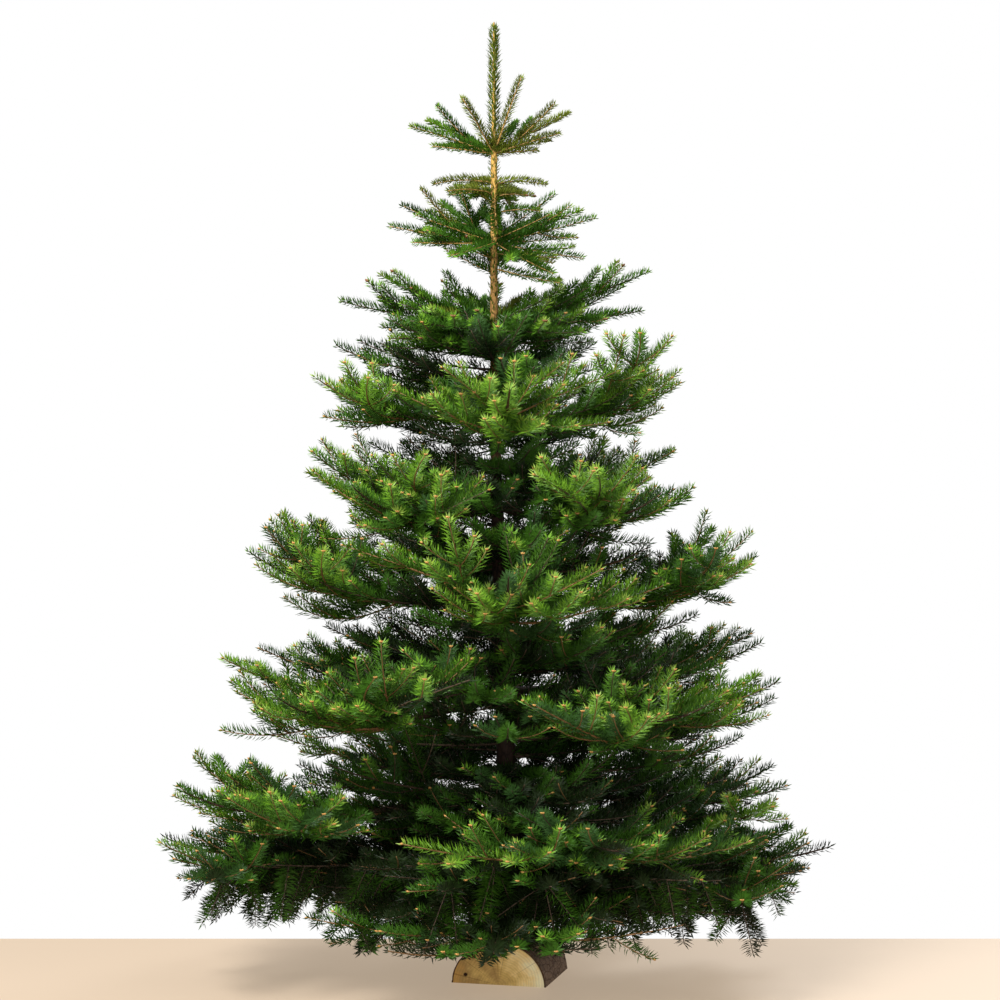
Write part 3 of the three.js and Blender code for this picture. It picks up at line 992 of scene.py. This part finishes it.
def near_tip(from_tip, amount, reach):
    """An amount that fades away from the tip of a shoot over a reach in metres."""
    return amount * np.exp(-from_tip / reach)


def needle_mesh(shoot):
    """The corners of all the needles on one shoot, four to a needle, and the colour number of each."""
    line, start = shoot["line"], shoot["bare"]
    distances = along(line)
    count = int((distances[-1] - start) * NEEDLES_PER_METRE * shoot["thick"])
    if count < 3:
        return np.zeros((0, 4, 3)), np.zeros(0, int)
    even = np.linspace(0, 1, count)
    denser_ahead = 1.15 * even - 0.15 * even ** 2
    places = start + (distances[-1] - start - JITTER) * denser_ahead + dice.uniform(-JITTER, JITTER, count)
    foot = np.stack([np.interp(places, distances, line[:, k]) for k in range(3)], 1)
    step = np.clip(np.searchsorted(distances, places) - 1, 0, len(line) - 2)
    ahead = unit(np.diff(line, axis=0))[step]
    level, above = frame_across(ahead)
    turn = (np.arange(count) * GOLDEN_TURN + dice.normal(0, 0.25, count)) % (2 * math.pi) - math.pi
    turn = turn * shoot.get("round", SIDES_AND_TOP)
    out = np.sin(turn)[:, None] * level + np.cos(turn)[:, None] * above
    from_tip = distances[-1] - places
    foot = foot + out * np.interp(places, distances, shoot["skin"])[:, None]
    lean = np.radians(shoot.get("lean", LEAN) + near_tip(from_tip, *LEAN_OPENS)
                      - near_tip(from_tip, *LEAN_CLOSES) + dice.normal(0, 7, count))[:, None]
    way = unit(np.cos(lean) * ahead + np.sin(lean) * out + NEEDLE_LIFT * UP)
    long = NEEDLE_LENGTH * (1.04 - near_tip(from_tip, *TIP_SHORTER)) * dice.uniform(0.82, 1.1, count)
    long = long * shoot["needle"]
    wide = unit(np.cross(way, out) + 1e-6)
    fold = np.cross(wide, way)
    middle = foot + way * (WIDEST * long)[:, None]
    half = NEEDLE_WIDTH / 2
    colours = np.full(count, shoot["colour"])
    if shoot["colour"] in (BRIGHT, LEAF):
        # Painted shade: the needles of the half nearer the shoot's foot take the next darker colour, and a
        # share of the others do so at random.
        base_shade_or_random_dark = (from_tip > SHADED_BASE_SHARE * distances[-1]) | (dice.random(count) < RANDOM_DARK_CHANCE)
        colours = np.where(from_tip < FRESH_END, shoot["colour"] - 1, colours + base_shade_or_random_dark)
    return np.stack([foot, middle + half * (wide + FOLD * fold), foot + way * long[:, None],
                     middle - half * (wide - FOLD * fold)], 1), colours


# %% [markdown]
# A needle is waxy and its colour hardly changes along it, so each has one plain colour, dealt out by
# spray: fresh yellow green at the tips, then leaf green, and painted shade down to near black where the
# light does not reach. A pattern finer than a needle would not show. The three darkest colours are
# painted shade, and have a weaker gloss so that the shaded sprays stay dark.

# %% Needle colours
FRESH, BRIGHT, LEAF, DEEP, COOL, SHADE, OLIVE = range(7)
# Spruce needles: grown with a thin wax coat, which gives them a soft gloss.
# The deep, cool and shade colours are painted shade, for sprays that get little light.
NEEDLE_COLOURS = [("needles_fresh", "#6C852B"), ("needles_bright", "#567D1A"), ("needles_leaf", "#3A5F11"),
                  ("needles_deep", "#2C4D10"), ("needles_cool", "#27421A"), ("needles_shade", "#132008"),
                  ("needles_olive", "#5F6A20")]
needle_materials = [plain_material(name, colour, 0.45, 0.25) for name, colour in NEEDLE_COLOURS]
for material in needle_materials[DEEP:OLIVE]:
    material.node_tree.nodes["Principled BSDF"].inputs["Specular IOR Level"].default_value = 0.12
print([material.name for material in needle_materials])


# %% [markdown]
# How much light a shoot gets decides its colour. That is how far out it stands, as a share of its limb's
# reach, with a gain for the upper tiers and a loss near the floor, and some chance. The youngest shoots,
# near the top, are dealt out by chance alone. The deepest shoots have lost some of their needles.

# %% How thick a shoot is, and how light
LIGHT_GAIN = {"w3": 0.18, "w4": 0.18, "1": 0.16, "2": 0.12, "3": 0.06, "4": 0.03}      # for the upper tiers
LIGHT_LOSS = {"skirt": 0.3, "6": 0.08}
SMALL_LOSS = 0.1           # small boughs stand in the shade of the others
SHADE_HEIGHT = 0.27        # below this the sprays darken towards the floor
SHADE_LOSS = 2.0
LIGHT_STEPS = [(0.45, SHADE), (0.62, DEEP), (0.7, COOL), (0.86, LEAF)]                 # brighter is BRIGHT


def girth_of(shoot):
    """The radius of a shoot at each point of its line: thicker the longer it is, and thin at its tip."""
    if shoot["order"] == 0:
        return bough_girth(len(shoot["line"]))
    thick = 0.0008 + 0.0085 * shoot["length"] ** 1.3
    thick += {"w1": 0.0008, "w2": 0.0006}.get(limbs[shoot["limb"]]["tier"], 0)
    return np.linspace(thick, 0.0009, len(shoot["line"]))


def light_on(shoot, limb):
    """How much light a shoot gets, about 0 to 1."""
    middle = shoot["line"][len(shoot["line"]) // 2]
    light = shoot["depth"] + limb_tint[shoot["limb"]] + dice.normal(0, 0.1)
    light += LIGHT_GAIN.get(limb["tier"], 0)
    light -= SHADE_LOSS * max(0, SHADE_HEIGHT - middle[2])
    small = SMALL_LOSS if limb["kind"] == "small" else 0
    return light - (small + LIGHT_LOSS.get(limb["tier"], 0))


limb_tint = dice.normal(0, 0.07, len(limbs))
print("limb tints from", round(limb_tint.min(), 2), "to", round(limb_tint.max(), 2))

# %% Deal out the needles and their colours
NEEDLE_SHARE = {"w1": 0.68, "w2": 0.68, "w3": 0.76, "w4": 0.84}      # length, shorter in the upper whorls
OUTER_DEPTH = 0.45         # a shoot nearer to the trunk than this share of its limb's reach is an inner one
OUTER_NEEDLES, INNER_NEEDLES = 1.08, 0.6                # how many, as a share of the usual number
TOP_NEEDLES, WHORL_NEEDLES, HANGING_NEEDLES = 2.3, 1.5, 1.45
SHADE_NEEDLES = 0.74       # left in the deepest shade, as a share
HANGING_LENGTH = 1.1       # of their needles
BARE_START = 0.004         # no needles on the first stretch of a shoot, metres
LONG_SHOOT = 0.2           # a strong shoot from this length on is bare for a tenth of it

for shoot in shoots:
    limb = limbs[shoot["limb"]]
    middle = shoot["line"][len(shoot["line"]) // 2]
    shoot["depth"] = from_trunk(middle[None])[0] / from_trunk(limb["line"][-1:])[0]
    shoot["skin"] = girth_of(shoot)
    strong = shoot["order"] <= 1 and shoot["length"] > LONG_SHOOT
    shoot["bare"] = 0.1 * shoot["length"] if strong else BARE_START
    shoot["thick"] = OUTER_NEEDLES if shoot["depth"] > OUTER_DEPTH else INNER_NEEDLES
    if limb["kind"] == "whorl":
        shoot["thick"] = TOP_NEEDLES if limb["tier"] in ("w1", "w2") else WHORL_NEEDLES
    shoot["needle"] = NEEDLE_SHARE.get(limb["tier"], 1.0)
    light = light_on(shoot, limb)
    shoot["colour"] = next((colour for step, colour in LIGHT_STEPS if light < step), BRIGHT)
    if shoot["colour"] == SHADE and limb["kind"] != "whorl":
        shoot["thick"] *= SHADE_NEEDLES
    if shoot.get("hangs"):
        # Hanging shoots hang under the skirt, where little light falls, so they take the deep and shade
        # colours: painted shade.
        shoot["colour"] = dice.choice([DEEP, DEEP, SHADE])
        shoot["thick"] = HANGING_NEEDLES
        shoot["needle"] = HANGING_LENGTH
    if limb["tier"] in ("w1", "w2"):
        shoot["colour"] = dice.choice([BRIGHT, LEAF, OLIVE], p=[0.3, 0.25, 0.45])
    if limb["tier"] in ("w3", "w4") and shoot["colour"] in (DEEP, COOL, SHADE):
        shoot["colour"] = dice.choice([LEAF, DEEP, OLIVE], p=[0.45, 0.4, 0.15])
print("shoots of each colour", np.bincount([shoot["colour"] for shoot in shoots]))


# %% [markdown]
# The leader is last summer's growth of the trunk itself, and carries needles all round, close together.
# Further down the young trunk still has a few. They stand on the bark, so their feet start at nine tenths
# of its radius.

# %% Needles on the leader and the top of the trunk
LEADER_FOOT = 1.51
STEM_STEP = 0.012


def stem_needles(low, high, thick, needle, lean, colour):
    """Needles that stand on the trunk itself between two heights."""
    heights = np.arange(low, high, STEM_STEP)
    line = np.array([trunk_centre(h) for h in heights])
    skin = np.array([trunk_radius(h) for h in heights]) * 0.9
    shoots.append({"line": line, "order": 0, "limb": 0, "depth": 0, "length": high - low, "bare": 0,
                   "thick": thick, "needle": needle, "lean": lean, "round": 1.0, "skin": skin,
                   "colour": colour, "stem": True})


stem_needles(LEADER_FOOT, TREE_TOP - 0.001, 2.0, 0.78, 46, OLIVE)
stem_needles(LEADER_FOOT, TREE_TOP - 0.001, 0.7, 0.78, 54, LEAF)
stem_needles(1.2, LEADER_FOOT, 0.6, 0.5, 42, OLIVE)
stem_needles(1.05, LEADER_FOOT, 0.4, 0.6, 48, LEAF)
print("leader", round(TREE_TOP - LEADER_FOOT, 2), "m long")


# %% [markdown]
# Hundreds of thousands of needles are too many for one object each, or for operators, so their corners go
# into a few meshes at once. Shoots are taken from the lowest limb to the highest, and a new piece is
# started before one gets too large, so each piece is a layer of the crown.

# %% Make a piece from arrays
PIECE_LIMIT = 190_000      # triangles


def mesh_piece(name, points, triangles, colours, materials):
    """A piece from arrays of corners, triangles and colour numbers."""
    mesh = bpy.data.meshes.new(name)
    mesh.vertices.add(len(points))
    mesh.vertices.foreach_set("co", points.astype(np.float32).ravel())
    mesh.loops.add(triangles.size)
    mesh.loops.foreach_set("vertex_index", triangles.astype(np.int32).ravel())
    mesh.polygons.add(len(triangles))
    mesh.polygons.foreach_set("loop_start", np.arange(0, triangles.size, 3, dtype=np.int32))
    for material in materials:
        mesh.materials.append(material)
    mesh.polygons.foreach_set("material_index", np.asarray(colours, dtype=np.int32))
    mesh.update(calc_edges=True)
    piece = bpy.data.objects.new(name, mesh)
    bpy.context.collection.objects.link(piece)
    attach(piece, "root")
    return piece


print("a piece ends before", PIECE_LIMIT, "triangles")

# %% Make the needles
def needle_piece(name, batch):
    """One piece of needles from a batch of (corners, colour numbers)."""
    points = np.concatenate([corner for corner, colour in batch])
    colours = np.concatenate([colour for corner, colour in batch])
    firsts = np.arange(len(points))[:, None] * 4
    triangles = np.concatenate([firsts + [0, 1, 2], firsts + [0, 2, 3]], 1).reshape(-1, 3)
    piece = mesh_piece(name, points.reshape(-1, 3), triangles, np.repeat(colours, 2), needle_materials)
    return piece


needle_pieces, batch, size, total = [], [], 0, 0
for shoot in sorted(shoots, key=lambda s: limbs[s["limb"]]["line"][0][2]):
    made, colours = needle_mesh(shoot)
    if size + 2 * len(made) > PIECE_LIMIT:
        needle_pieces.append(needle_piece(f"needles_{len(needle_pieces) + 1}", batch))
        batch, size = [], 0
    batch.append((made, colours))
    size += 2 * len(made)
    total += len(made)
needle_pieces.append(needle_piece(f"needles_{len(needle_pieces) + 1}", batch))
print(total, "needles in", len(needle_pieces), "pieces")


# %% [markdown]
# ## Twigs and buds
# The bark of a young shoot is ochre, and grows brown and thicker with age. The brown bark is also painted
# shade, on shoots deep in the crown and on those that hang under it, and near the top the young bark is
# painted lighter and golden, as in full sun. A tube with three sides is enough at this size. Each tip
# carries a bunch of three resting buds, which show as orange dots all over the tree.

# %% Bark of the twigs
# Young spruce bark: a thin ochre skin between the needles, with a soft sheen.
young_bark = plain_material("young_spruce_bark", "#6E4D26", 0.65)
# The same young bark near the top, golden, and painted lighter as in full sun: painted sunlight.
golden_sunlit_bark = plain_material("golden_painted_sunlit_spruce_bark", "#947238", 0.6)
# Bark of several years: brown, cracked and dull; it is also painted shade on shoots deep in the crown and on
# the hanging ones.
old_and_shaded_bark = plain_material("old_and_shaded_spruce_bark", "#3E2D1C", 0.75)
# Bud scales: dry and papery, glued by resin, so they shine a little. The large top buds are darker.
bud_scales = plain_material("bud_scales", "#A87C3C", 0.55)
dark_bud_scales = plain_material("dark_bud_scales", "#6E4A22", 0.55)
print("twig barks", young_bark.name, golden_sunlit_bark.name, old_and_shaded_bark.name)

# %% Twigs
def tube(line, girth, sides=3):
    """The corners and triangles of a thin tube round a line, with a closed end."""
    ahead = unit(np.gradient(line, axis=0))
    level, above = frame_across(ahead)
    radius = girth[:, None]
    turns = 2 * math.pi * np.arange(sides) / sides
    rings = [line + radius * (math.cos(t) * level + math.sin(t) * above) for t in turns]
    points = np.stack(rings, 1).reshape(-1, 3)
    faces = []
    for step in range(len(line) - 1):
        for k in range(sides):
            a, b = sides * step + k, sides * step + (k + 1) % sides
            faces += [(a, b, b + sides), (a, b + sides, a + sides)]
    last = sides * (len(line) - 1)
    faces += [(last, last + k, last + k + 1) for k in range(1, sides - 1)]
    return points, np.array(faces)


def joined(parts):
    """Corners and triangles of many parts as one."""
    counts = np.cumsum([0] + [len(points) for points, faces in parts])
    return (np.concatenate([points for points, faces in parts]),
            np.concatenate([faces + first for (points, faces), first in zip(parts, counts)]))


YOUNG_LIT_DEPTH = 0.72         # bark is young and lit from this share of the limb's reach on; nearer the trunk it is old bark and painted shade
STOUT_LENGTH = 0.25        # a shoot longer than this is thick enough to need five sides

twig_parts, twig_colours = [], []
for shoot in shoots:
    if shoot["order"] == 0:        # boughs have their bark already, and stem needles need none
        continue
    part = tube(shoot["line"], shoot["skin"], 5 if shoot["length"] > STOUT_LENGTH else 3)
    twig_parts.append(part)
    # Painted shade: inner and hanging shoots take the old brown bark. Painted sunlight: shoots of the top
    # whorls take the golden bark.
    young_and_lit = shoot["depth"] > YOUNG_LIT_DEPTH and not shoot.get("hangs")
    golden_and_sunlit = limbs[shoot["limb"]]["tier"] in ("w1", "w2", "w3") and shoot["order"] < DEEPEST
    twig_colours.append(np.full(len(part[1]), 2 if golden_and_sunlit else 0 if young_and_lit else 1))
points, faces = joined(twig_parts)
twigs = mesh_piece("twigs", points, faces, np.concatenate(twig_colours), [young_bark, old_and_shaded_bark, golden_sunlit_bark])
print(len(faces), "triangles of twig")

# %% [markdown]
# A resting bud is an egg-shaped packet of scales. Next spring's shoot and its two side shoots wait in
# three of them, one ahead and one at each side. An octahedron with a long point has the shape at this
# size.

# %% Buds
BUD = 0.0062
TOP_BUD = 0.0085           # the strong shoots near the top end in larger buds
BUD_DEPTH = 0.66           # shoots that get less light than this share of the reach set none
BUD_SPREADS = (0, 0.9, -0.9)
BUD_WAIST = 0.4            # where a bud is widest, as a share of its length
BUD_GIRTH = 0.34           # its half width there, as a share of its length


def bud(foot, ahead, size):
    """A pointed bud as a small octahedron."""
    level = unit(np.cross(ahead, UP) + 1e-6)
    above = np.cross(level, ahead)
    ring = [foot + size * (BUD_WAIST * ahead + BUD_GIRTH * (math.cos(t) * level + math.sin(t) * above))
            for t in np.radians([0, 120, 240])]
    points = np.array([foot, *ring, foot + size * ahead])
    return points, np.array([(0, 2, 1), (0, 3, 2), (0, 1, 3), (1, 2, 4), (2, 3, 4), (3, 1, 4)])


bud_parts, bud_colours = [], []
for shoot in shoots:
    budless = shoot.get("hangs") or shoot.get("stem") or shoot["colour"] == SHADE
    if budless or shoot["depth"] < BUD_DEPTH:
        continue
    whorl = limbs[shoot["limb"]]["kind"] == "whorl"
    ahead = unit(shoot["line"][-1] - shoot["line"][-2])
    level = unit(np.cross(ahead, UP) + 1e-6)
    for spread in BUD_SPREADS:
        way = unit(ahead + spread * level + abs(spread) * 0.2 * UP)
        bud_parts.append(bud(shoot["line"][-1], way, TOP_BUD if whorl else BUD))
        bud_colours += 6 * [1 if whorl else 0]
points, faces = joined(bud_parts)
buds = mesh_piece("buds", points, faces, bud_colours, [bud_scales, dark_bud_scales])
print(len(bud_parts), "buds")


# %% [markdown]
# ## The end
# The solid masses of the frame stood in for the foliage, and the needle pieces take their place, so the
# masses and the leader's mass are hidden.

# %% Stand-ins that give way to the grown foliage
for name in mass_names:
    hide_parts(name)
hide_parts("foliage_leader")
print(len(mass_names) + 1, "masses replaced")
